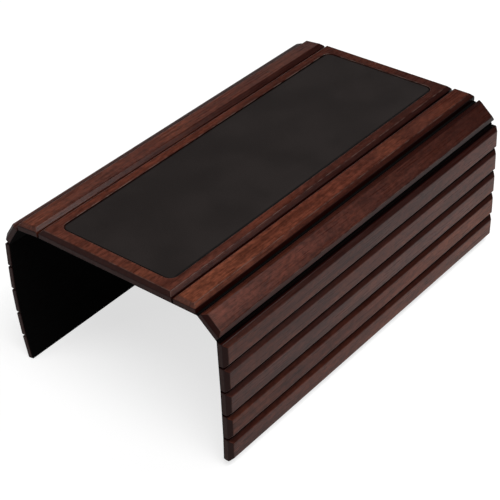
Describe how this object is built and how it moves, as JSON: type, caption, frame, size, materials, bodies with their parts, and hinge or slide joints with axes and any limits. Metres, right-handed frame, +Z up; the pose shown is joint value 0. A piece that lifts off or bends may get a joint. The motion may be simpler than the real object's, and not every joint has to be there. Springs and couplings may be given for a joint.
{
  "type": "sofa arm tray",
  "caption": "Flexible slatted wooden tray that drapes over a sofa arm: a flat centre board with an inlaid mat, and hinged slat flaps joined by a cloth backing.",
  "frame": {"origin": "middle of the centre board's underside, on the plane that rests on the sofa arm's top", "axes": "+X to the tray's right, across the arm; +Y to the back, along the slats and the arm; +Z up, out of the board's top"},
  "size_m": [0.2267, 0.36, 0.1407],
  "materials": {
    "wood": "dark red-brown stain, satin varnish",
    "mat": "matt black-brown, fine grain",
    "cloth": "black woven backing"
  },
  "bodies": {
    "board": {"centre_board": "wood", "mat": "mat", "board_cloth": "cloth"},
    "right_slat_1": {"right_slat_1": "wood", "right_cloth_1": "cloth"},
    "right_slat_2": {"right_slat_2": "wood", "right_cloth_2": "cloth"},
    "right_slat_3": {"right_slat_3": "wood", "right_cloth_3": "cloth"},
    "right_slat_4": {"right_slat_4": "wood", "right_cloth_4": "cloth"},
    "right_slat_5": {"right_slat_5": "wood", "right_cloth_5": "cloth"},
    "right_slat_6": {"right_slat_6": "wood", "right_cloth_6": "cloth"},
    "right_slat_7": {"right_slat_7": "wood", "right_cloth_7": "cloth"},
    "left_slat_1": {"left_slat_1": "wood", "left_cloth_1": "cloth"},
    "left_slat_2": {"left_slat_2": "wood", "left_cloth_2": "cloth"},
    "left_slat_3": {"left_slat_3": "wood", "left_cloth_3": "cloth"},
    "left_slat_4": {"left_slat_4": "wood", "left_cloth_4": "cloth"},
    "left_slat_5": {"left_slat_5": "wood", "left_cloth_5": "cloth"},
    "left_slat_6": {"left_slat_6": "wood", "left_cloth_6": "cloth"},
    "left_slat_7": {"left_slat_7": "wood", "left_cloth_7": "cloth"}
  },
  "joints": [
    {"name": "right_hinge_1", "type": "hinge", "parent": "board", "child": "right_slat_1", "pos_m": [0.06725, 0, 0], "axis": [0, 1, 0], "range_deg": [0, 75]},
    {"name": "right_hinge_2", "type": "hinge", "parent": "right_slat_1", "child": "right_slat_2", "pos_m": [0.08975, 0, 0], "axis": [0, -1, 0], "range_deg": [-33, 42]},
    {"name": "right_hinge_3", "type": "hinge", "parent": "right_slat_2", "child": "right_slat_3", "pos_m": [0.10647, 0, -0.01506], "axis": [0, 1, 0], "range_deg": [-47.5, 27.5]},
    {"name": "right_hinge_4", "type": "hinge", "parent": "right_slat_3", "child": "right_slat_4", "pos_m": [0.10667, 0, -0.03755], "axis": [0, -1, 0], "range_deg": [-75, 0]},
    {"name": "right_hinge_5", "type": "hinge", "parent": "right_slat_4", "child": "right_slat_5", "pos_m": [0.10686, 0, -0.06005], "axis": [0, 1, 0], "range_deg": [-1, 74]},
    {"name": "right_hinge_6", "type": "hinge", "parent": "right_slat_5", "child": "right_slat_6", "pos_m": [0.10667, 0, -0.08255], "axis": [0, -1, 0], "range_deg": [-75, 0]},
    {"name": "right_hinge_7", "type": "hinge", "parent": "right_slat_6", "child": "right_slat_7", "pos_m": [0.10647, 0, -0.10505], "axis": [0, 1, 0], "range_deg": [-1.5, 73.5]},
    {"name": "left_hinge_1", "type": "hinge", "parent": "board", "child": "left_slat_1", "pos_m": [-0.06725, 0, 0], "axis": [0, 1, 0], "range_deg": [-69.5, 5.5]},
    {"name": "left_hinge_2", "type": "hinge", "parent": "left_slat_1", "child": "left_slat_2", "pos_m": [-0.08965, 0, -0.00216], "axis": [0, -1, 0], "range_deg": [-49.5, 25.5]},
    {"name": "left_hinge_3", "type": "hinge", "parent": "left_slat_2", "child": "left_slat_3", "pos_m": [-0.10255, 0, -0.02059], "axis": [0, 1, 0], "range_deg": [-42.5, 32.5]},
    {"name": "left_hinge_4", "type": "hinge", "parent": "left_slat_3", "child": "left_slat_4", "pos_m": [-0.10353, 0, -0.04307], "axis": [0, -1, 0], "range_deg": [-1.5, 73.5]},
    {"name": "left_hinge_5", "type": "hinge", "parent": "left_slat_4", "child": "left_slat_5", "pos_m": [-0.10393, 0, -0.06556], "axis": [0, 1, 0], "range_deg": [-71, 4]},
    {"name": "left_hinge_6", "type": "hinge", "parent": "left_slat_5", "child": "left_slat_6", "pos_m": [-0.10275, 0, -0.08803], "axis": [0, -1, 0], "range_deg": [-3, 72]},
    {"name": "left_hinge_7", "type": "hinge", "parent": "left_slat_6", "child": "left_slat_7", "pos_m": [-0.1004, 0, -0.11041], "axis": [0, 1, 0], "range_deg": [-71.5, 3.5]}
  ]
}
